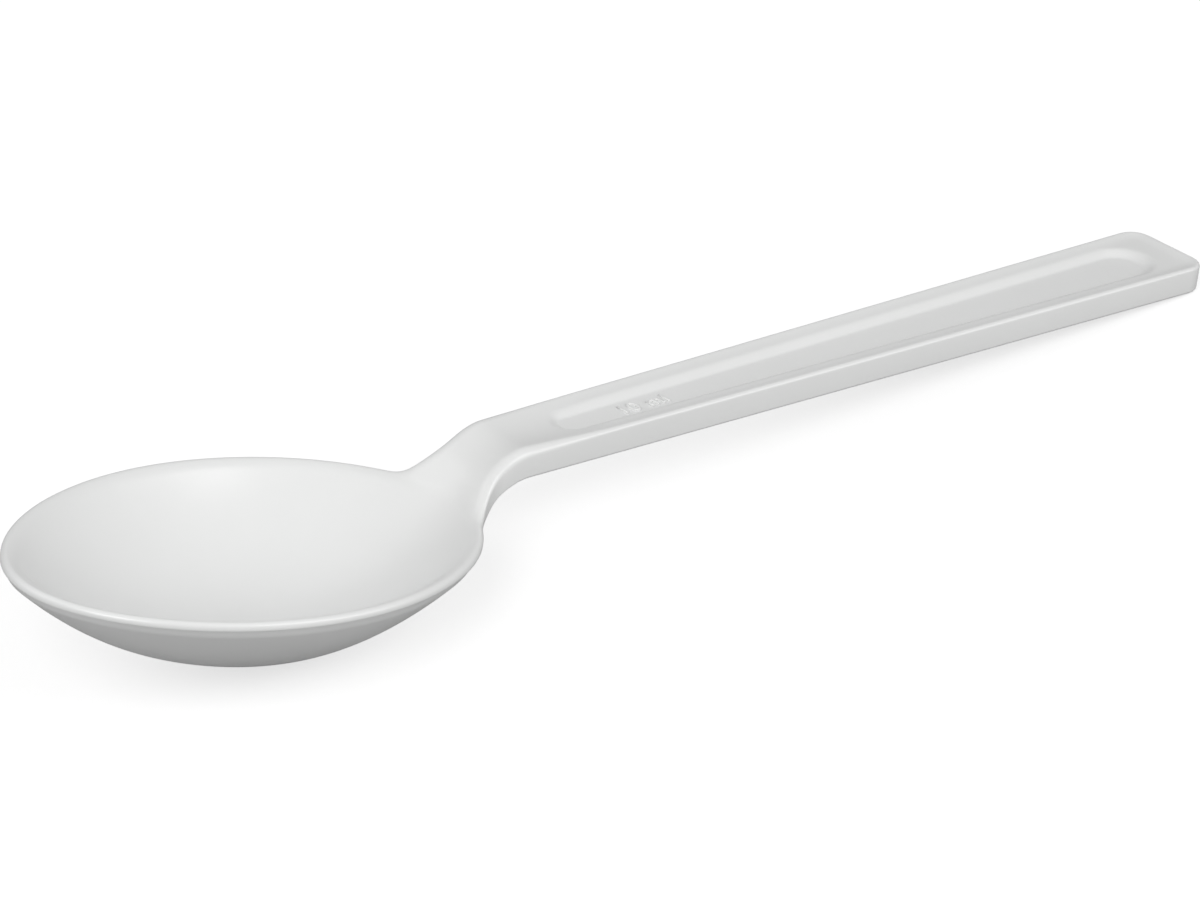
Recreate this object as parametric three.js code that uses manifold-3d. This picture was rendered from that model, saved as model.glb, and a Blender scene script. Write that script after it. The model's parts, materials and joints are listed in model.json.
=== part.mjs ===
import * as THREE from 'three';
import { mergeVertices } from 'three/addons/utils/BufferGeometryUtils.js';
import Module from 'manifold-3d';

// Sampling spoon for 10 ml, moulded in one piece from white polystyrene. Millimetres, +Z up.
// The spoon is drawn with its bowl rim level: x runs from the bowl tip along the handle, y is sideways and
// z is the height above the rim. At the end it is tipped, so that it lies on a table as it would in use.
// The one moulding is divided at two flat sections into bowl, neck and handle.

// Driving dimensions: whole spoon
const overallLength = 170;
const edgeRound = 0.6; // radius of the handle's upper edge
const undersideRound = 0.4; // radius of the handle's lower edge
const straightSide = 0.1; // straight height between the rim's round and its bevel

// Driving dimensions: bowl
const bowlLength = 59;
const bowlWidth = 42;
const tipTaper = 0.5; // narrowing of the egg outline towards its tip
const endPinch = 1.4; // narrowing of the egg outline towards both ends
const shoulderLength = 3.1; // straight run of the outline into the neck
const bowlDepth = 13.1; // from the rim to the lowest point outside
const bowlFloor = 2; // wall at the deepest point
const bowlFullness = 2.25; // exponent of the bowl's curve: 2 is a parabola, more is fuller
const cavityFlare = 1.6; // how much steeper the cavity's curve runs on into the neck, outside the rim
const deepestFromTip = 31.4;
const rimWidth = 1.1;
const rimFall = 0.25; // drop of the rim's top from its outer edge to the cavity
const rimRound = 0.75; // radius of the rim's outer edge
const rimBevel = 0.6; // width of the bevel under the rim's outer edge
const rimEdge = 1.3; // height of the rim's outer face
const rimCrease = 0.7; // blend between the rim and the cavity

// Driving dimensions: neck
const bowlStub = 0.8; // start of the neck that stays with the bowl
const neckLength = 12.4;
const neckWidth = 10.1;
const neckOverlap = 1.95; // how far before the bowl's end the neck starts to rise
const neckSlope = 1.18;
const neckRise = 5.65; // height of the handle's upper edge where the neck starts
const neckFoot = 1.05; // blend between the rim and the rising neck
const neckShoulder = 4.1; // blend between the rising neck and the handle
const neckFillet = 4.3; // blend between bowl outline and neck outline in plan
const neckRound = 1.6; // radius of the neck's upper edge
const lipRise = 0.5; // extra height of the neck's lips
const neckDish = 0.85; // depth of the hollow between the neck's lips
const dishFade = 8; // start of the handle, on which the neck's section turns into the handle's
const thickeningStart = 2.6; // how far before the neck's foot the rim starts to thicken
const thickeningLength = 5.3;
const undersideBlend = 0.5; // blend between the bowl's outside and the rim or neck

// Driving dimensions: handle
const handleEndWidth = 13;
const handleThickness = 3.5;
const handleAngle = 3.95; // rise of the handle against the rim, in degrees
const endCorner = 2.6;
const lipWidth = 2.4; // width of the slope from the handle's edge down to its hollow top
const handleDish = 0.42; // depth of the hollow top
const recessGap = 0.3; // from the end of the neck to the recess
const recessEndGap = 4.6;
const recessLand = 2.4; // from the handle's side to the recess
const recessWall = 1; // width of the recess's sloping wall
const recessDepth = 0.75;

// Mesh fineness
const outlineSteps = 30;
const shoulderSteps = 6;
const neckSteps = 14;
const fadeSteps = 4;
const handleSteps = 3;
const cornerSteps = 6;
const arcSteps = 12;
const roundShares = [0, 0.2, 0.55];
const ringScales = [0.975, 0.95, 0.92, 0.88, 0.8, 0.69, 0.55, 0.38, 0.2];
const acrossShares = [0.66, 0.33, 0];
const bisections = 50;
const tinyStep = 1e-3;
const mergeDistance = 1e-5;

const plastic = { color: 0xe6e8e7, roughness: 0.45, metalness: 0 };

// Places along the spoon
const bowlMiddle = bowlLength / 2;
const shoulderStart = bowlLength - shoulderLength;
const neckFootX = bowlLength - neckOverlap;
const neckStart = bowlLength + bowlStub;
const handleStart = neckStart + neckLength;
const fadeEnd = handleStart + dishFade;
const recessStart = handleStart + recessGap;
const recessEnd = overallLength - recessEndGap;
const cornerStart = overallLength - endCorner;

// Maximum and minimum of two values, rounded off where they come within reach of each other
const blendMax = (a, b, reach) => Math.max(a, b) + Math.max(reach - Math.abs(a - b), 0) ** 2 / (4 * reach);
const blendMin = (a, b, reach) => -blendMax(-a, -b, reach);
const { lerp, smoothstep, degToRad } = THREE.MathUtils;

// Egg outline: half width at x, for an egg that starts at x = margin and is narrower by margin all round
function eggHalfWidth(x, margin) {
  const along = 1 - (2 * (x - margin)) / (bowlLength - 2 * margin);
  const share = Math.sqrt(Math.max(1 - along * along, 0));
  return share * (bowlWidth / 2 - margin - tipTaper * along - endPinch * along * along);
}

// Scale about the bowl's deepest point that carries the egg outline through a point of the plan
function eggScale(x, y, margin) {
  let low = 0;
  let high = 1 + Math.hypot(x - deepestFromTip, y);
  for (let step = 0; step < bisections; step += 1) {
    const scale = (low + high) / 2;
    const outlineX = deepestFromTip + (x - deepestFromTip) / scale;
    const inside = outlineX > margin && outlineX < bowlLength - margin;
    const covered = inside && Math.abs(y) / scale < eggHalfWidth(outlineX, margin);
    if (covered) high = scale;
    else low = scale;
  }
  return high;
}

// Half width of the bowl, whose outline runs straight on from its shoulders
const shoulderHalfWidth = eggHalfWidth(shoulderStart, 0);
const shoulderSlope = (eggHalfWidth(shoulderStart + tinyStep, 0) - shoulderHalfWidth) / tinyStep;
function bowlHalfWidth(x) {
  if (x < shoulderStart) return eggHalfWidth(x, 0);
  return shoulderHalfWidth + shoulderSlope * (x - shoulderStart);
}

// Half width of the neck and handle strip, and of the whole plan outline before the end corners
const taper = (handleEndWidth - neckWidth) / 2 / (overallLength - handleStart);
const stripHalfWidth = (x) => neckWidth / 2 + taper * (x - handleStart);
function halfWidth(x) {
  if (x < bowlMiddle) return bowlHalfWidth(x);
  return blendMax(bowlHalfWidth(x), stripHalfWidth(x), neckFillet);
}

// Half width with the round corners at the handle's end
function cornerHalfWidth(x) {
  const past = Math.max(x - cornerStart, 0);
  return halfWidth(x) - endCorner + Math.sqrt(Math.max(endCorner ** 2 - past ** 2, 0));
}

// Distance of a point of the strip from its outline, round the end corners too
function stripInset(x, y) {
  const across = Math.abs(y) - (halfWidth(x) - endCorner);
  const along = x - cornerStart;
  const outside = Math.hypot(Math.max(across, 0), Math.max(along, 0));
  return endCorner - outside - Math.min(Math.max(across, along), 0);
}

// Height of the spoon's upper edge: level rim, steep neck with round foot and shoulder, straight handle
const handleSlope = Math.tan(degToRad(handleAngle));
const handleLine = (x) => neckRise + handleSlope * (x - neckStart);
function edgeHeight(x) {
  const rise = blendMax(0, neckSlope * (x - neckFootX), neckFoot);
  return blendMin(handleLine(Math.max(x, neckFootX)), rise, neckShoulder);
}

// Height of the side face below the upper edge
function thickening(x) {
  const start = neckFootX - thickeningStart;
  return smoothstep(x, start, start + thickeningLength);
}
const edgeThickness = (x) => lerp(rimEdge, handleThickness, thickening(x));

// Share of the neck's raised and rounded lips in the section at x
const lipShare = (x) => thickening(x) * (1 - smoothstep(x, neckStart, fadeEnd));

// Radius of the upper edge, limited by the side face under it
function upperRound(x) {
  const besideLips = lerp(rimRound, edgeRound, thickening(x));
  return Math.min(lerp(besideLips, neckRound, lipShare(x)), edgeThickness(x) - straightSide);
}

// Drop of a rounded edge at a distance from the outline
function roundDrop(inset, radius) {
  const short = Math.min(Math.max(radius - inset, 0), radius);
  return radius - Math.sqrt(radius ** 2 - short ** 2);
}

// Rise of the lower edge at a distance from the outline: a bevel under the rim, a round under the handle
function lowerRise(x, inset) {
  const bevel = (edgeThickness(x) - upperRound(x) - straightSide) * Math.max(1 - inset / rimBevel, 0);
  return lerp(bevel, roundDrop(inset, undersideRound), thickening(x));
}

// Depth of the top below its outer edge: sloping rim, then the hollow between the lips of neck and handle
function dish(x, inset) {
  const start = smoothstep(x, neckFootX, neckStart + neckFoot);
  const towardsHandle = smoothstep(x, handleStart, fadeEnd);
  const depth = lerp(neckDish, handleDish, towardsHandle);
  const width = lerp(neckWidth / 2, lipWidth, towardsHandle);
  const hollow = depth * (1 - Math.max(1 - inset / width, 0) ** 2);
  const rim = rimFall * Math.min(inset / rimWidth, 1);
  return lerp(rim, hollow, start);
}

// Bowl surfaces: scaled copies of the egg sink to the deepest point by a power law
const bowlCurve = (scale) => scale ** bowlFullness - 1;
const shellHeight = (x, y) => (bowlDepth - rimEdge) * bowlCurve(eggScale(x, y, 0)) - rimEdge;
function cavityHeight(x, y) {
  const height = (bowlDepth - bowlFloor) * bowlCurve(eggScale(x, y, rimWidth));
  return Math.max(height, cavityFlare * height);
}

function upperHeight(x, y, inset) {
  const land = edgeHeight(x) + lipRise * lipShare(x) - dish(x, inset);
  return blendMin(land, cavityHeight(x, y), rimCrease) - roundDrop(inset, upperRound(x));
}

function lowerHeight(x, y, inset) {
  const land = edgeHeight(x) - edgeThickness(x);
  return blendMin(land, shellHeight(x, y), undersideBlend) + lowerRise(x, inset);
}

// Closed solid between the upper and lower surface over a triangulated plan of { x, y, inset } points
function solidOverPlan(points, triangles) {
  const count = points.length;
  const positions = [];
  for (const { x, y, inset } of points) positions.push(x, y, upperHeight(x, y, inset));
  for (const { x, y, inset } of points) positions.push(x, y, lowerHeight(x, y, inset));
  const index = [];
  const edges = new Map();
  for (const [a, second, third] of triangles) {
    const [p, q, r] = [points[a], points[second], points[third]];
    const turn = (q.x - p.x) * (r.y - p.y) - (q.y - p.y) * (r.x - p.x);
    const [b, c] = turn > 0 ? [second, third] : [third, second];
    index.push(a, b, c, a + count, c + count, b + count);
    for (const [from, to] of [[a, b], [b, c], [c, a]]) edges.set(`${from},${to}`, [from, to]);
  }
  for (const [from, to] of edges.values()) {
    if (edges.has(`${to},${from}`)) continue;
    index.push(from, from + count, to + count, from, to + count, to);
  }
  return indexedGeometry(positions, index);
}

function indexedGeometry(positions, index) {
  const geometry = new THREE.BufferGeometry();
  geometry.setAttribute('position', new THREE.Float32BufferAttribute(positions, 3));
  geometry.setIndex(Array.from(index));
  return geometry;
}

// Two triangles for each cell between neighbouring rows of points
function joinRows(rowA, rowB, closed) {
  const triangles = [];
  const cells = closed ? rowA.length : rowA.length - 1;
  for (let cell = 0; cell < cells; cell += 1) {
    const next = (cell + 1) % rowA.length;
    triangles.push([rowA[cell], rowA[next], rowB[next]], [rowA[cell], rowB[next], rowB[cell]]);
  }
  return triangles;
}

const evenSteps = (start, end, steps) =>
  Array.from({ length: steps + 1 }, (_, step) => lerp(start, end, step / steps));

// Distances from the outline at which the rounded edges and the rim are drawn, out to the largest round
const edgeBand = Math.max(neckRound, rimWidth);
const roundInsets = roundShares.map((share) => share * edgeRound);
const edgeInsets = [...roundInsets, edgeRound, rimRound, (rimRound + edgeBand) / 2, edgeBand];

// Sideways places across the strip, from one edge to the other
function placesAcross(width) {
  const middle = width - edgeBand;
  const edgePlaces = edgeInsets.map((inset) => width - inset);
  const oneSide = [...edgePlaces, ...acrossShares.map((share) => share * middle)];
  const otherSide = oneSide.slice(0, -1).reverse();
  return [...oneSide, ...otherSide.map((place) => -place)];
}

// Bowl outline in plan, from the section at the neck round the tip and back
function bowlOutline() {
  const angles = evenSteps(0, Math.PI, outlineSteps);
  const tipToShoulder = angles.map((angle) => (shoulderStart / 2) * (1 - Math.cos(angle)));
  const shoulderToNeck = evenSteps(shoulderStart, neckStart, shoulderSteps).slice(1);
  const stations = [...tipToShoulder, ...shoulderToNeck].reverse();
  const oneSide = stations.map((x) => new THREE.Vector2(x, halfWidth(x)));
  const otherSide = oneSide.slice(0, -1).reverse().map(({ x, y }) => new THREE.Vector2(x, -y));
  return [...oneSide, ...otherSide];
}

function inwardDirections(outline) {
  const last = outline.length - 1;
  return outline.map((point, place) => {
    if (place === 0) return new THREE.Vector2(0, -1);
    if (place === last) return new THREE.Vector2(0, 1);
    const along = outline[place + 1].clone().sub(outline[place - 1]).normalize();
    return new THREE.Vector2(-along.y, along.x);
  });
}

// Bowl plan: rows parallel to the rim, then shrinking rings down to the deepest point
function bowlGeometry() {
  const outline = bowlOutline();
  const inward = inwardDirections(outline);
  const points = [];
  const triangles = [];
  const addRow = (row) => row.map((point) => points.push(point) - 1);
  let before = null;
  for (const inset of edgeInsets) {
    const shifted = outline.map((point, place) => point.clone().addScaledVector(inward[place], inset));
    const row = addRow(shifted.map(({ x, y }) => ({ x, y, inset })));
    if (before) triangles.push(...joinRows(before, row, false));
    before = row;
  }
  const mouthWidth = halfWidth(neckStart);
  const mouth = placesAcross(mouthWidth).slice(edgeInsets.length, -edgeInsets.length);
  const mouthRow = addRow(mouth.map((y) => ({ x: neckStart, y, inset: mouthWidth - Math.abs(y) })));
  const loop = [...before, ...mouthRow.reverse()];
  let ring = loop;
  for (const scale of ringScales) {
    const smaller = loop.map((place) => {
      const x = lerp(deepestFromTip, points[place].x, scale);
      const y = scale * points[place].y;
      return { x, y, inset: Math.max(halfWidth(x) - Math.abs(y), edgeBand) };
    });
    const row = addRow(smaller);
    triangles.push(...joinRows(ring, row, true));
    ring = row;
  }
  const [deepest] = addRow([{ x: deepestFromTip, y: 0, inset: bowlWidth / 2 }]);
  ring.forEach((place, step) => triangles.push([place, ring[(step + 1) % ring.length], deepest]));
  return solidOverPlan(points, triangles);
}

// Strip plan: cross rows at the given stations along the spoon
function stripGeometry(stations) {
  const points = [];
  const triangles = [];
  let before = null;
  for (const x of stations) {
    const places = placesAcross(cornerHalfWidth(x));
    const row = places.map((y) => points.push({ x, y, inset: stripInset(x, y) }) - 1);
    if (before) triangles.push(...joinRows(before, row, false));
    before = row;
  }
  return solidOverPlan(points, triangles);
}

// Recess outline: two round ends and their common tangents, made larger all round by grow
function recessOutline(grow) {
  const smallEnd = stripHalfWidth(recessStart) - recessLand;
  const largeEnd = stripHalfWidth(recessEnd) - recessLand;
  const smallX = recessStart + smallEnd;
  const largeX = recessEnd - largeEnd;
  const tangent = Math.acos((smallEnd - largeEnd) / (largeX - smallX));
  const arc = (centre, radius, from, to) =>
    evenSteps(from, to, arcSteps).map((angle) => [
      centre + (radius + grow) * Math.cos(angle),
      (radius + grow) * Math.sin(angle),
    ]);
  const farArc = arc(largeX, largeEnd, -tangent, tangent);
  const nearArc = arc(smallX, smallEnd, tangent, 2 * Math.PI - tangent);
  return [...farArc, ...nearArc];
}

// Recess cutter: sloping walls, from the recess floor up through the hollow top
function recessGeometry() {
  const levels = [-1, 1];
  const positions = levels.flatMap((level) =>
    recessOutline(level * recessWall).flatMap(([x, y]) => [
      x,
      y,
      handleLine(x) - handleDish + level * recessDepth,
    ]),
  );
  const count = positions.length / 3 / levels.length;
  const index = [];
  for (let place = 0; place < count; place += 1) {
    const next = (place + 1) % count;
    index.push(place, next, next + count, place, next + count, place + count);
  }
  for (let place = 1; place < count - 1; place += 1) {
    index.push(0, place + 1, place, count, count + place, count + place + 1);
  }
  return indexedGeometry(positions, index);
}

const wasm = await Module();
wasm.setup();

function toManifold(geometry) {
  const merged = mergeVertices(geometry, mergeDistance);
  const vertProperties = new Float32Array(merged.attributes.position.array);
  const triVerts = new Uint32Array(merged.index.array);
  return new wasm.Manifold(new wasm.Mesh({ numProp: 3, vertProperties, triVerts }));
}

function cut(body, tool) {
  const mesh = toManifold(body).subtract(toManifold(tool)).getMesh();
  return indexedGeometry(mesh.vertProperties, mesh.triVerts);
}

function neckGeometry() {
  return stripGeometry(evenSteps(neckStart, handleStart, neckSteps));
}

function handleGeometry() {
  const fading = evenSteps(handleStart, fadeEnd, fadeSteps);
  const straight = evenSteps(fadeEnd, cornerStart, handleSteps).slice(1);
  const angles = evenSteps(0, Math.PI / 2, cornerSteps).slice(1);
  const corner = angles.map((angle) => cornerStart + endCorner * Math.sin(angle));
  return cut(stripGeometry([...fading, ...straight, ...corner]), recessGeometry());
}

function namedMesh(name, geometry) {
  geometry.computeVertexNormals();
  const mesh = new THREE.Mesh(geometry, new THREE.MeshStandardMaterial(plastic));
  mesh.name = name;
  return mesh;
}

const bowl = namedMesh('bowl', bowlGeometry());
const neck = namedMesh('neck', neckGeometry());
const handle = namedMesh('handle', handleGeometry());
const moulding = new THREE.Group();
moulding.add(bowl, neck, handle);

// Lowest point of a piece when the spoon is tipped by an angle about Y
function lowestPoint(piece, angle) {
  const { array } = piece.geometry.attributes.position;
  let lowest = Infinity;
  for (let place = 0; place < array.length; place += 3) {
    lowest = Math.min(lowest, array[place + 2] * Math.cos(angle) - array[place] * Math.sin(angle));
  }
  return lowest;
}

// Lie on a table: the underside of the bowl and the lower edge of the handle's end touch it together
function restAngle() {
  let low = 0;
  let high = Math.PI / 4;
  for (let step = 0; step < bisections; step += 1) {
    const angle = (low + high) / 2;
    if (lowestPoint(bowl, angle) < lowestPoint(handle, angle)) low = angle;
    else high = angle;
  }
  return low;
}

const spoon = new THREE.Group();
moulding.rotation.y = restAngle();
spoon.add(moulding);
spoon.updateMatrixWorld(true);
const box = new THREE.Box3().setFromObject(spoon, true);
moulding.position.set(-(box.min.x + box.max.x) / 2, 0, -box.min.z);

export default spoon;
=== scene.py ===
"""Sampling spoon for 10 ml, moulded in one piece from white polystyrene."""
import json
import math
from types import SimpleNamespace

import bpy
import numpy as np
from mathutils import Matrix, Vector


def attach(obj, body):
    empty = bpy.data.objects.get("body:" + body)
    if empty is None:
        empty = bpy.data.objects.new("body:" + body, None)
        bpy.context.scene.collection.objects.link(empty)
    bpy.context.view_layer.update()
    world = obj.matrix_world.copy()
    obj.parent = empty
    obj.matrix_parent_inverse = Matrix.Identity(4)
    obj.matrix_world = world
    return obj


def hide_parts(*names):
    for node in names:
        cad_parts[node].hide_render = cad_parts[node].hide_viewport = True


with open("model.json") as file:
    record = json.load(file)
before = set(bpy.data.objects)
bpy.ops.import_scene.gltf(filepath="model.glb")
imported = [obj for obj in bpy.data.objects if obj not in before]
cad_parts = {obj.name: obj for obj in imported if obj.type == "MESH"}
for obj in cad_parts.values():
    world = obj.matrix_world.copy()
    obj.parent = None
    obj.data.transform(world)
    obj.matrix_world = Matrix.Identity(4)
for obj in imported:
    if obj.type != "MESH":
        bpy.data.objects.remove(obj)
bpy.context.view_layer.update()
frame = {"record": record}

MM = 0.001

# Sizes of the moulding in millimetres. It is drawn with the bowl rim level: x runs from the bowl tip along
# the handle, y is sideways and z is the height above the rim.
outline = SimpleNamespace(
    overall_length=170.0,
    bowl_length=59.0,
    bowl_width=42.0,
    tip_taper=0.5,
    end_pinch=1.4,
    shoulder_length=3.1,
    deepest_from_tip=31.4,
    bowl_stub=0.8,
    neck_length=12.4,
    neck_width=10.1,
    neck_overlap=1.95,
    neck_fillet=4.3,
    dish_fade=8.0,
    thickening_lead=2.6,
    handle_end_width=13.0,
    end_corner=2.6,
    recess_gap=0.3,
    recess_end_gap=4.6,
    recess_land=2.4,
    rim_width=1.1,
)

# Places along the moulding
shoulder_start = outline.bowl_length - outline.shoulder_length
neck_foot = outline.bowl_length - outline.neck_overlap
neck_start = outline.bowl_length + outline.bowl_stub
handle_start = neck_start + outline.neck_length
recess_start = handle_start + outline.recess_gap
recess_end = outline.overall_length - outline.recess_end_gap
corner_start = outline.overall_length - outline.end_corner

# Sizes that the relief of the upper and lower surface follows
relief = SimpleNamespace(
    edge_round=0.6,
    rim_width=outline.rim_width,
    rim_fall=0.25,
    rim_round=0.75,
    rim_bevel=0.6,
    underside_round=0.4,
    straight_side=0.1,
    bowl_depth=13.1,
    bowl_floor=2.0,
    bowl_fullness=2.25,
    cavity_flare=1.6,
    rim_edge=1.3,
    rim_crease=0.7,
    neck_foot=neck_foot,
    neck_start=neck_start,
    neck_slope=1.18,
    neck_rise=5.65,
    foot_blend=1.05,
    shoulder_blend=4.1,
    neck_round=1.6,
    lip_rise=0.5,
    neck_half_width=outline.neck_width / 2,
    neck_dish=0.85,
    fade_end=handle_start + outline.dish_fade,
    thickening_start=neck_foot - outline.thickening_lead,
    thickening_length=5.3,
    underside_blend=0.5,
    handle_start=handle_start,
    handle_thickness=3.5,
    handle_slope=math.tan(math.radians(3.95)),
    lip_width=2.4,
    handle_dish=0.42,
    recess_wall=1.0,
    recess_depth=0.75,
    recess_crease=0.3,
    recess_corner=0.15,
)

# Mesh fineness
edge_insets = (0.0, 0.01, 0.04, 0.1, 0.18, 0.28, 0.4, 0.6, 0.85, 1.15, 1.4, 1.6, 1.8, 2.0)
bowl_steps = 70
shoulder_steps = 14
ring_count = 48
ring_crowding = 1.5
fine_station = 0.4
wide_station = 2.0
fine_reach = 7.0
corner_steps = 6
end_steps = 24
bisections = 50
tiny_step = 1e-3
weld_distance = 1e-4

# Raised capacity mark on the recess floor
mark = SimpleNamespace(
    text="10 ml",
    start=81.9,
    baseline=-1.15,
    size=2.9,
    spacing=1.12,
    thinning=0.1,
    relief=0.1,
    bevel=0.09,
    sunk=0.05,
)

# Finish and light
plastic_shade = (0.78, 0.785, 0.78)
plastic_light = (0.82, 0.825, 0.82)
floor_shade = 0.44
floor_glow = 0.68
floor_size = 4.0
room_light = 0.355
softboxes = (
    dict(name="front_softbox", azimuth=20, elevation=40, distance=1.0, size=0.5, power=2.3),
    dict(name="low_softbox", azimuth=40, elevation=20, distance=1.0, size=0.5, power=1.9),
    dict(name="side_softbox", azimuth=-60, elevation=40, distance=1.0, size=0.5, power=3.8),
    dict(name="back_softbox", azimuth=-130, elevation=40, distance=1.0, size=0.8, power=1.8),
)

# Camera: it stands at the photograph's viewing angle
camera_aim = Vector((-7.895, -2.864, 9.0)) * MM
camera_azimuth = math.radians(-39.523)
camera_elevation = math.radians(28.745)
camera_roll = math.radians(-0.296)
camera_distance = 725.19 * MM
camera_lens = 192.42
camera_sensor = 36.0


def blend_max(a, b, reach):
    """Larger of two values, rounded off where they come within reach of each other."""
    return np.maximum(a, b) + np.maximum(reach - np.abs(a - b), 0) ** 2 / (4 * reach)


# Outline of the plan

def egg_half_width(x, margin):
    """Half width of an egg that starts at x = margin and is narrower by margin all round."""
    along = 1 - 2 * (x - margin) / (outline.bowl_length - 2 * margin)
    share = np.sqrt(np.maximum(1 - along**2, 0))
    narrowing = outline.tip_taper * along + outline.end_pinch * along**2
    return share * (outline.bowl_width / 2 - margin - narrowing)


def egg_scale(x, y, margin):
    """Scale about the deepest point that carries the egg outline through each point of the plan."""
    low = np.zeros_like(x)
    high = 1 + np.hypot(x - outline.deepest_from_tip, y)
    for _ in range(bisections):
        scale = (low + high) / 2
        outline_x = outline.deepest_from_tip + (x - outline.deepest_from_tip) / scale
        inside = (outline_x > margin) & (outline_x < outline.bowl_length - margin)
        covered = inside & (np.abs(y) / scale < egg_half_width(outline_x, margin))
        high = np.where(covered, scale, high)
        low = np.where(covered, low, scale)
    return high


def bowl_half_width(x):
    """Half width of the bowl, whose outline runs straight on from its shoulders."""
    width = egg_half_width(shoulder_start, 0)
    slope = (egg_half_width(shoulder_start + tiny_step, 0) - width) / tiny_step
    return np.where(x < shoulder_start, egg_half_width(x, 0), width + slope * (x - shoulder_start))


def strip_half_width(x):
    """Half width of the neck and handle, which widens towards the handle's end."""
    widening = (outline.handle_end_width - outline.neck_width) / 2
    return outline.neck_width / 2 + widening * (x - handle_start) / (outline.overall_length - handle_start)


def half_width(x):
    """Half width of the whole spoon, with a fillet between bowl and neck."""
    joined = blend_max(bowl_half_width(x), strip_half_width(x), outline.neck_fillet)
    return np.where(x < outline.bowl_length / 2, bowl_half_width(x), joined)


def stations_along():
    """Places of the cross rows from the neck to the handle's end, close together where the shape turns."""
    first = recess_start + fine_reach
    last = recess_end - fine_reach
    parts = (
        (neck_start, first, fine_station),
        (first, last, wide_station),
        (last, corner_start, fine_station),
    )
    places = [np.linspace(a, b, round((b - a) / step), endpoint=False) for a, b, step in parts]
    return np.append(np.concatenate(places), corner_start)


def outline_loop(stations):
    """Closed outline with its inward directions: one side, the handle's end, the other side, the bowl."""
    side = np.stack([stations, half_width(stations)], axis=1)
    corner = half_width(corner_start) - outline.end_corner
    angles = np.linspace(0, math.pi / 2, corner_steps + 1)[1:]
    round_end = outline.end_corner * np.stack([np.sin(angles), np.cos(angles)], axis=1)
    arc = np.array((corner_start, corner)) + round_end
    end_places = np.linspace(corner, -corner, end_steps + 1)[1:-1]
    end = np.stack([np.full_like(end_places, outline.overall_length), end_places], axis=1)
    turns = np.linspace(0, math.pi, bowl_steps + 1)
    tip_to_shoulder = shoulder_start / 2 * (1 - np.cos(turns))
    shoulder_to_neck = np.linspace(shoulder_start, neck_start, shoulder_steps + 1)[1:-1]
    bowl_x = np.concatenate([tip_to_shoulder, shoulder_to_neck])
    bowl = np.stack([bowl_x, half_width(bowl_x)], axis=1)
    mirror = np.array((1, -1))
    mirrored = [part[::-1] * mirror for part in (arc, side, bowl)]
    loop = np.concatenate([side, arc, end, *mirrored, bowl[1:]])
    along = np.roll(loop, -1, axis=0) - np.roll(loop, 1, axis=0)
    inward = np.stack([along[:, 1], -along[:, 0]], axis=1)
    return loop, inward / np.linalg.norm(inward, axis=1, keepdims=True)


def distance_to_loop(points, loop):
    """Shortest distance from each point to the closed outline."""
    step = np.roll(loop, -1, axis=0) - loop
    shortest = np.full(len(points), np.inf)
    for a, b in zip(loop, step):
        share = np.clip((points - a) @ b / (b @ b), 0, 1)
        shortest = np.minimum(shortest, np.linalg.norm(points - a - share[:, None] * b, axis=1))
    return shortest


def recess_inset(x, y):
    """Distance inside the recess outline, which is two round ends and their common tangents."""
    small = strip_half_width(recess_start) - outline.recess_land
    large = strip_half_width(recess_end) - outline.recess_land
    span = recess_end - large - recess_start - small
    sine = (large - small) / span
    cosine = math.sqrt(1 - sine**2)
    across = np.abs(y)
    along = x - recess_start - small
    reach = along * cosine + across * sine
    side = across * cosine - along * sine - small
    near_end = np.hypot(across, along) - small
    far_end = np.hypot(across, along - span) - large
    inside_ends = np.where(reach < 0, near_end, far_end)
    return -np.where((reach < 0) | (reach > cosine * span), inside_ends, side)


# Plan mesh

class Plan:
    """Points and faces of the flat plan."""

    def __init__(self):
        self.points = []
        self.insets = []
        self.faces = []

    def add_row(self, points, inset=None):
        first = len(self.points)
        self.points.extend(points)
        self.insets.extend([inset] * len(points))
        return list(range(first, len(self.points)))

    def join_rows(self, row_a, row_b, closed=False):
        ends = zip(row_a, row_b, row_a[1:], row_b[1:])
        cells = [(a, next_a, next_b, b) for a, b, next_a, next_b in ends]
        if closed:
            cells.append((row_a[-1], row_a[0], row_b[0], row_b[-1]))
        self.faces.extend(tuple(dict.fromkeys(cell)) for cell in cells)


def draw_plan():
    """Rows parallel to the outline, cross rows on neck and handle, and shrinking rings in the bowl."""
    plan = Plan()
    stations = stations_along()
    loop, inward = outline_loop(stations)
    before = None
    for inset in edge_insets:
        row = plan.add_row(loop + inward * inset, inset)
        if before:
            plan.join_rows(before, row, closed=True)
        before = row
    last = len(stations) - 1
    cells = 2 * corner_steps + end_steps
    other_side = before[last + cells:2 * last + cells + 1][::-1]
    shares = np.linspace(0, 1, cells + 1)[1:-1, None]
    cross_rows = []
    for near, far in zip(before, other_side):
        a, b = plan.points[near], plan.points[far]
        cross_rows.append([near, *plan.add_row(a + shares * (b - a)), far])
    for row_a, row_b in zip(cross_rows, cross_rows[1:]):
        plan.join_rows(row_a, row_b)
    plan.join_rows(cross_rows[-1], before[last:last + cells + 1])
    mouth = cross_rows[0]
    ring_start = before[2 * last + cells:] + mouth[:-1]
    centre = np.array((outline.deepest_from_tip, 0.0))
    spokes = np.array([plan.points[place] for place in ring_start]) - centre
    ring = ring_start
    for step in range(1, ring_count):
        scale = 1 - (step / ring_count) ** ring_crowding
        row = plan.add_row(centre + scale * spokes)
        plan.join_rows(ring, row, closed=True)
        ring = row
    deepest = plan.add_row([centre])
    plan.join_rows(ring, deepest * len(ring), closed=True)
    return plan, loop


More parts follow.
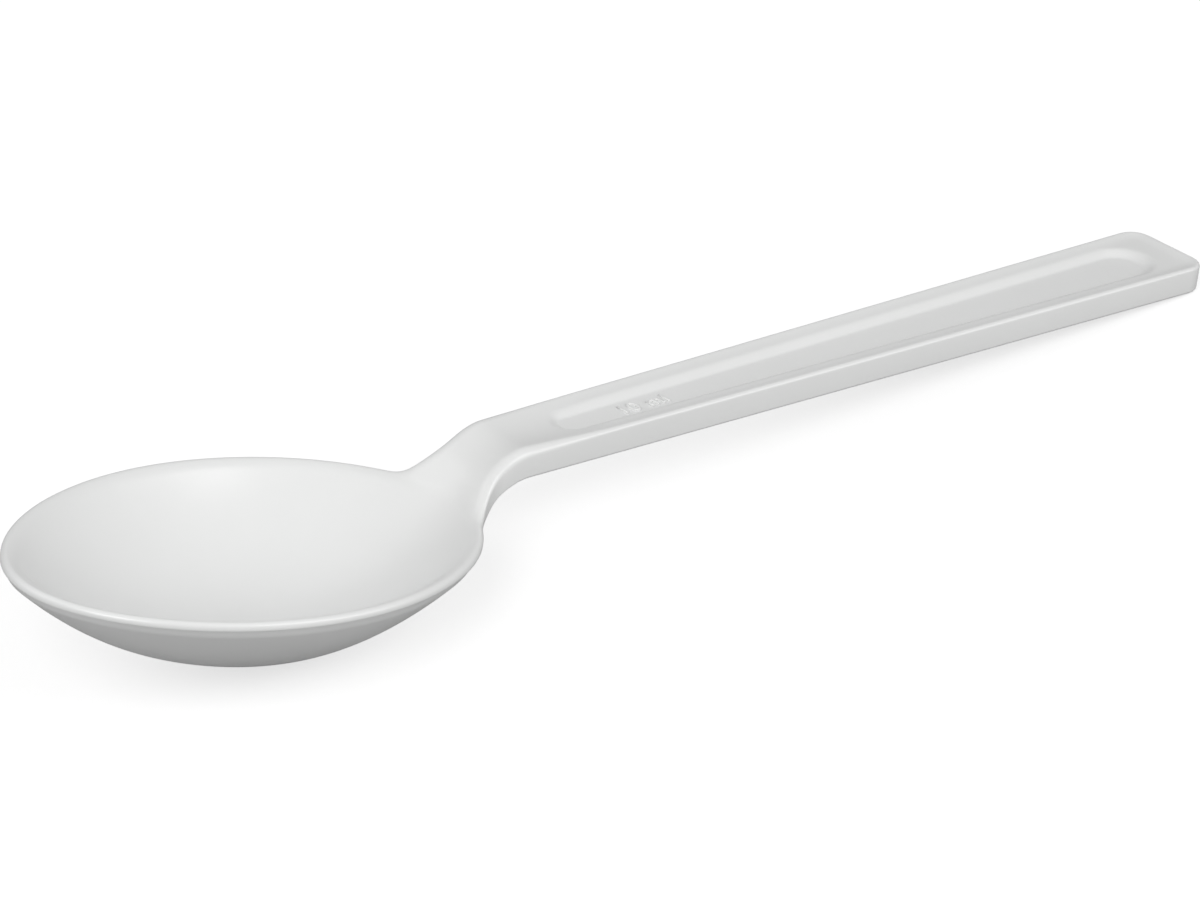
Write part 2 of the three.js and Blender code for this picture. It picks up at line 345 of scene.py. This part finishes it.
def plan_object():
    """The plan as a flat mesh that faces up, with the distances that the relief reads."""
    plan, loop = draw_plan()
    points = np.array(plan.points)
    drawn = np.array([np.nan if inset is None else inset for inset in plan.insets])
    measured = distance_to_loop(points, loop)
    x, y = points.T
    mesh = bpy.data.meshes.new("spoon_plan")
    mesh.from_pydata(np.column_stack([points, np.zeros(len(points))]), [], plan.faces)
    for face in mesh.polygons:
        if face.normal.z < 0:
            face.flip()
    distances = {
        "inset": np.where(np.isnan(drawn), measured, drawn),
        "rim_scale": egg_scale(x, y, 0.0),
        "cavity_scale": egg_scale(x, y, outline.rim_width),
        "recess_inset": recess_inset(x, y),
    }
    for name, values in distances.items():
        mesh.attributes.new(name, "FLOAT", "POINT").data.foreach_set("value", values)
    piece = bpy.data.objects.new("spoon_plan", mesh)
    bpy.context.scene.collection.objects.link(piece)
    return piece


# Node trees written as formulas

class Field:
    """A value in a node tree. Sums and products of fields make Math nodes."""

    def __init__(self, tree, socket):
        self.tree = tree
        self.socket = socket

    def math(self, operation, *others):
        node = self.tree.nodes.new("ShaderNodeMath")
        node.operation = operation
        for place, value in enumerate((self, *others)):
            plug(self.tree, value, node.inputs[place])
        return Field(self.tree, node.outputs[0])

    def __add__(self, other):
        return self.math("ADD", other)

    def __sub__(self, other):
        return self.math("SUBTRACT", other)

    def __rsub__(self, other):
        return self.math("MULTIPLY_ADD", -1.0, other)

    def __mul__(self, other):
        return self.math("MULTIPLY", other)

    def __truediv__(self, other):
        return self.math("DIVIDE", other)

    def __pow__(self, other):
        return self.math("POWER", other)

    __radd__ = __add__
    __rmul__ = __mul__

    def least(self, other):
        return self.math("MINIMUM", other)

    def most(self, other):
        return self.math("MAXIMUM", other)

    def root(self):
        return self.math("SQRT")

    def towards(self, other, share):
        return self + (other - self) * share

    def smooth(self, start, end):
        """0 up to start, 1 from end, and a smooth step between them."""
        node = self.tree.nodes.new("ShaderNodeMapRange")
        node.interpolation_type = "SMOOTHSTEP"
        plug(self.tree, self, node.inputs["Value"])
        plug(self.tree, start, node.inputs["From Min"])
        plug(self.tree, end, node.inputs["From Max"])
        return Field(self.tree, node.outputs["Result"])


def plug(tree, value, socket):
    """Link a field to a socket, or set the socket to a plain value."""
    if isinstance(value, Field):
        tree.links.new(value.socket, socket)
    else:
        socket.default_value = value


def add_node(tree, kind, settings=None, **inputs):
    """New node with its settings, and its inputs by their names in lower case with underscores."""
    node = tree.nodes.new(kind)
    for name, value in (settings or {}).items():
        setattr(node, name, value)
    sockets = {socket.name.lower().replace(" ", "_"): socket for socket in node.inputs if socket.enabled}
    for name, value in inputs.items():
        plug(tree, value, sockets[name])
    return node


def output(node, name=0):
    return Field(node.id_data, node.outputs[name])


def new_group(name, kind, inputs, outputs):
    """Node group with named sockets. Returns the tree, its inputs as fields, and its output node."""
    tree = bpy.data.node_groups.new(name, kind)
    for in_out, sockets in (("INPUT", inputs), ("OUTPUT", outputs)):
        for socket, socket_type in sockets.items():
            tree.interface.new_socket(socket, in_out=in_out, socket_type=socket_type)
    start = tree.nodes.new("NodeGroupInput")
    return tree, {socket: output(start, socket) for socket in inputs}, tree.nodes.new("NodeGroupOutput")


def blend_group():
    """Larger of two heights, rounded off where they come within reach of each other."""
    sockets = {"A": "NodeSocketFloat", "B": "NodeSocketFloat", "Reach": "NodeSocketFloat"}
    tree, value, result = new_group("Blend Max", "GeometryNodeTree", sockets, {"Height": "NodeSocketFloat"})
    near = (value["Reach"] - (value["A"] - value["B"]).math("ABSOLUTE")).most(0.0)
    plug(tree, value["A"].most(value["B"]) + near * near / (4.0 * value["Reach"]), result.inputs["Height"])
    return tree


def blended(a, b, reach, group):
    node = a.tree.nodes.new("GeometryNodeGroup")
    node.node_tree = group
    for name, value in (("A", a), ("B", b), ("Reach", reach)):
        plug(a.tree, value, node.inputs[name])
    return output(node, "Height")


def round_drop(inset, radius):
    """Drop of a rounded edge at a distance from the outline."""
    short = (radius - inset).most(0.0).least(radius)
    return radius - (radius * radius - short * short).most(0.0).root()


def relief_heights(size, x, inset, rim_scale, cavity_scale, recess, blend):
    """Heights of the upper and the lower surface over the plan."""
    def blended_max(a, b, reach):
        return blended(a, b, reach, blend)

    def blended_min(a, b, reach):
        return -1.0 * blended(-1.0 * a, -1.0 * b, reach, blend)

    # Upper edge: level rim, steep neck with a round foot and shoulder, straight handle
    handle_line = size.neck_rise + size.handle_slope * (x.most(size.neck_foot) - size.neck_start)
    rise = blended_max(size.neck_slope * (x - size.neck_foot), 0.0 * x, size.foot_blend)
    edge = blended_min(handle_line, rise, size.shoulder_blend)
    # Side face and its rounded edges
    thickening = x.smooth(size.thickening_start, size.thickening_start + size.thickening_length)
    thickness = size.rim_edge.towards(size.handle_thickness, thickening)
    lips = thickening * (1.0 - x.smooth(size.neck_start, size.fade_end))
    beside_lips = size.rim_round.towards(size.edge_round, thickening)
    upper_round = beside_lips.towards(size.neck_round, lips).least(thickness - size.straight_side)
    bevel = (thickness - upper_round - size.straight_side) * (1.0 - inset / size.rim_bevel).most(0.0)
    lower_rise = bevel.towards(round_drop(inset, size.underside_round), thickening)
    # Sloping rim, then the hollow top between raised lips
    fade = x.smooth(size.handle_start, size.fade_end)
    dish_depth = size.neck_dish.towards(size.handle_dish, fade)
    dish_width = size.neck_half_width.towards(size.lip_width, fade)
    dish_start = x.smooth(size.neck_foot, size.neck_start + size.foot_blend)
    hollow = dish_depth * (1.0 - (1.0 - inset / dish_width).most(0.0) ** 2.0)
    rim = size.rim_fall * (inset / size.rim_width).least(1.0)
    dish = rim.towards(hollow, dish_start)
    # Recess with sloping walls
    wall = recess * size.recess_depth / size.recess_wall
    recess_drop = blended_min(wall, size.recess_depth + 0.0 * x, size.recess_corner)
    top = edge + size.lip_rise * lips - dish
    land = blended_min(top, handle_line - size.handle_dish - recess_drop, size.recess_crease)
    # Bowl: scaled copies of the egg sink to the deepest point by a power law
    cavity = (size.bowl_depth - size.bowl_floor) * (cavity_scale**size.bowl_fullness - 1.0)
    shell = (size.bowl_depth - size.rim_edge) * (rim_scale**size.bowl_fullness - 1.0) - size.rim_edge
    cavity = cavity.most(size.cavity_flare * cavity)
    upper = blended_min(land, cavity, size.rim_crease) - round_drop(inset, upper_round)
    lower = blended_min(edge - thickness, shell, size.underside_blend) + lower_rise
    return upper, lower


def moulding_tree(material):
    """Raise the flat plan to the upper surface, sink a copy to the lower one and close the side between."""
    sockets = {"Plan": "NodeSocketGeometry"}
    sockets.update({name.replace("_", " ").title(): "NodeSocketFloat" for name in vars(relief)})
    made = {"Spoon": "NodeSocketGeometry"}
    tree, value, result = new_group("Spoon Moulding", "GeometryNodeTree", sockets, made)
    size = SimpleNamespace(**{name: value[name.replace("_", " ").title()] for name in vars(relief)})

    def distance(name):
        return output(add_node(tree, "GeometryNodeInputNamedAttribute", {"data_type": "FLOAT"}, name=name))

    def raised(geometry, height):
        place = output(add_node(tree, "ShaderNodeCombineXYZ", x=x, y=y, z=height))
        return output(add_node(tree, "GeometryNodeSetPosition", geometry=geometry, position=place))

    position = output(add_node(tree, "GeometryNodeInputPosition"))
    corners = add_node(tree, "ShaderNodeSeparateXYZ", vector=position)
    x, y = output(corners, "X"), output(corners, "Y")
    distances = [distance(name) for name in ("inset", "rim_scale", "cavity_scale", "recess_inset")]
    upper, lower = relief_heights(size, x, *distances, blend_group())
    walled = add_node(tree, "GeometryNodeExtrudeMesh", {"mode": "FACES"}, mesh=value["Plan"],
                      offset_scale=0.0, individual=False)
    top_height = output(add_node(tree, "GeometryNodeSwitch", {"input_type": "FLOAT"},
                                 switch=output(walled, "Top"), false=lower, true=upper))
    top = raised(output(walled, "Mesh"), top_height)
    underside = raised(output(add_node(tree, "GeometryNodeFlipFaces", mesh=value["Plan"])), lower)
    join = tree.nodes.new("GeometryNodeJoinGeometry")
    for part in (top, underside):
        tree.links.new(part.socket, join.inputs[0])
    joined = output(join)
    welded = output(add_node(tree, "GeometryNodeMergeByDistance", geometry=joined, distance=weld_distance))
    smooth = output(add_node(tree, "GeometryNodeSetShadeSmooth", geometry=welded, shade_smooth=True))
    real = output(add_node(tree, "GeometryNodeRealizeInstances", geometry=smooth))
    finished = output(add_node(tree, "GeometryNodeSetMaterial", geometry=real, material=material))
    plug(tree, finished, result.inputs["Spoon"])
    return tree


def mesh_of(piece, name):
    """Plain mesh of an object with its modifiers or its text, and the object removed."""
    bpy.context.view_layer.update()
    evaluated = piece.evaluated_get(bpy.context.evaluated_depsgraph_get())
    mesh = bpy.data.meshes.new_from_object(evaluated)
    mesh.name = name
    bpy.data.objects.remove(piece)
    return mesh


def level_moulding(material):
    """The moulding with its rim level, in millimetres."""
    piece = plan_object()
    modifier = piece.modifiers.new("moulding", "NODES")
    tree = moulding_tree(material)
    modifier.node_group = tree
    inputs = {item.name: item.identifier for item in tree.interface.items_tree if item.in_out == "INPUT"}
    for name, value in vars(relief).items():
        modifier[inputs[name.replace("_", " ").title()]] = value
    return mesh_of(piece, "spoon")


def mount_axis(name):
    mounts = {mount["name"]: mount for mount in frame["record"]["mounts"]}
    return Vector(mounts[name]["axis"])


def resting_place(mesh):
    """Turn and shift from the level drawing to the part's frame, where the spoon lies on a table."""
    axis = mount_axis("recess_floor")
    tilt = math.atan2(axis.x, axis.z) + math.atan(relief.handle_slope)
    turned = Matrix.Rotation(tilt, 4, "Y") @ Matrix.Scale(MM, 4)
    places = np.array([turned @ vertex.co for vertex in mesh.vertices])
    low, high = places.min(axis=0), places.max(axis=0)
    return Matrix.Translation((-(low[0] + high[0]) / 2, 0, -low[2])) @ turned


def capacity_mark(material):
    """Raised characters on the recess floor, near the neck. In millimetres, with the rim level."""
    curve = bpy.data.curves.new("capacity_mark", "FONT")
    curve.body = mark.text
    curve.size = mark.size
    curve.space_character = mark.spacing
    curve.offset = -mark.thinning
    curve.extrude = mark.relief / 2
    curve.bevel_depth = mark.bevel
    curve.bevel_resolution = 2
    piece = bpy.data.objects.new("capacity_mark", curve)
    bpy.context.scene.collection.objects.link(piece)
    mesh = mesh_of(piece, "capacity_mark")
    mesh.materials.clear()
    mesh.materials.append(material)
    return mesh


def mark_place():
    """From the mark's own plane to its place on the recess floor."""
    floor = relief.handle_dish + relief.recess_depth
    height = relief.neck_rise + relief.handle_slope * (mark.start - neck_start) - floor
    turn = Matrix.Rotation(-math.atan(relief.handle_slope), 4, "Y")
    lift = Matrix.Translation((0, 0, mark.relief / 2 + mark.bevel - mark.sunk))
    return Matrix.Translation((mark.start, mark.baseline, height)) @ turn @ lift


def new_piece(name, mesh):
    piece = bpy.data.objects.new(name, mesh)
    bpy.context.scene.collection.objects.link(piece)
    return piece


# Materials

def new_material(name):
    material = bpy.data.materials.new(name)
    material.use_nodes = True
    return material, material.node_tree, material.node_tree.nodes["Principled BSDF"]


def polystyrene():
    """Satin white polystyrene: faint clouding of the colour, an uneven gloss and a fine moulded skin."""
    material, tree, shader = new_material("satin_polystyrene")
    place = output(add_node(tree, "ShaderNodeTexCoord"), "Object")
    cloud = output(add_node(tree, "ShaderNodeTexNoise", vector=place, scale=60.0, detail=3.0), "Fac")
    skin = output(add_node(tree, "ShaderNodeTexNoise", vector=place, scale=1500.0, detail=2.0), "Fac")
    ramp = add_node(tree, "ShaderNodeValToRGB", fac=cloud)
    for element, shade in zip(ramp.color_ramp.elements, (plastic_shade, plastic_light)):
        element.color = (*shade, 1.0)
    plug(tree, output(ramp, "Color"), shader.inputs["Base Color"])
    plug(tree, 0.25 + 0.06 * cloud + 0.04 * skin, shader.inputs["Roughness"])
    bump = add_node(tree, "ShaderNodeBump", height=skin, strength=0.15, distance=0.02 * MM)
    plug(tree, output(bump, "Normal"), shader.inputs["Normal"])
    shader.inputs["IOR"].default_value = 1.57
    return material


def seen_directly(tree):
    """1 for rays that come straight from the camera."""
    return output(add_node(tree, "ShaderNodeLightPath"), "Is Camera Ray")


def floor_material():
    """Matt white floor that shows as white where it is lit, and keeps the object's shadow."""
    material, tree, shader = new_material("white_floor")
    shader.inputs["Base Color"].default_value = (floor_shade, floor_shade, floor_shade, 1.0)
    shader.inputs["Roughness"].default_value = 1.0
    shader.inputs["Specular IOR Level"].default_value = 0.0
    shader.inputs["Emission Color"].default_value = (1.0, 1.0, 1.0, 1.0)
    plug(tree, floor_glow * seen_directly(tree), shader.inputs["Emission Strength"])
    return material


# Studio

def add_floor():
    edge = floor_size / 2
    mesh = bpy.data.meshes.new("floor")
    corners = [(-edge, -edge, 0), (edge, -edge, 0), (edge, edge, 0), (-edge, edge, 0)]
    mesh.from_pydata(corners, [], [(0, 1, 2, 3)])
    mesh.materials.append(floor_material())
    return new_piece("floor", mesh)


def set_world():
    world = bpy.data.worlds.new("studio")
    world.use_nodes = True
    tree = world.node_tree
    background = tree.nodes["Background"]
    background.inputs["Color"].default_value = (1.0, 1.0, 1.0, 1.0)
    seen = seen_directly(tree)
    plug(tree, room_light + (1.0 - room_light) * seen, background.inputs["Strength"])
    bpy.context.scene.world = world


def direction(azimuth, elevation):
    """Unit vector from the object towards a viewer. Azimuth 0 looks along +Y."""
    level = math.cos(elevation)
    return Vector((math.sin(azimuth) * level, -math.cos(azimuth) * level, math.sin(elevation)))


def add_softbox(name, azimuth, elevation, distance, size, power):
    lamp = bpy.data.lights.new(name, "AREA")
    lamp.shape = "DISK"
    lamp.size = size
    lamp.energy = power
    towards = direction(math.radians(azimuth), math.radians(elevation))
    piece = new_piece(name, lamp)
    piece.location = towards * distance
    piece.rotation_euler = towards.to_track_quat("Z", "Y").to_euler()
    return piece


def add_camera():
    camera = bpy.data.cameras.new("camera")
    camera.lens = camera_lens
    camera.sensor_fit = "HORIZONTAL"
    camera.sensor_width = camera_sensor
    camera.clip_start = 0.01
    towards = direction(camera_azimuth, camera_elevation)
    piece = new_piece("camera", camera)
    piece.location = camera_aim + towards * camera_distance
    roll = Matrix.Rotation(camera_roll, 3, "Z")
    piece.rotation_euler = (towards.to_track_quat("Z", "Y").to_matrix() @ roll).to_euler()
    bpy.context.scene.camera = piece


bpy.context.scene.view_settings.view_transform = "Standard"
plastic = polystyrene()
moulding = level_moulding(plastic)
rest = resting_place(moulding)
moulding.transform(rest)
spoon = new_piece("spoon", moulding)
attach(spoon, "root")
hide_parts("bowl", "neck", "handle")

mark_mesh = capacity_mark(plastic)
mark_mesh.transform(rest @ mark_place())
capacity = new_piece("capacity_mark", mark_mesh)
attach(capacity, "root")

add_floor()
set_world()
for softbox in softboxes:
    add_softbox(**softbox)
add_camera()
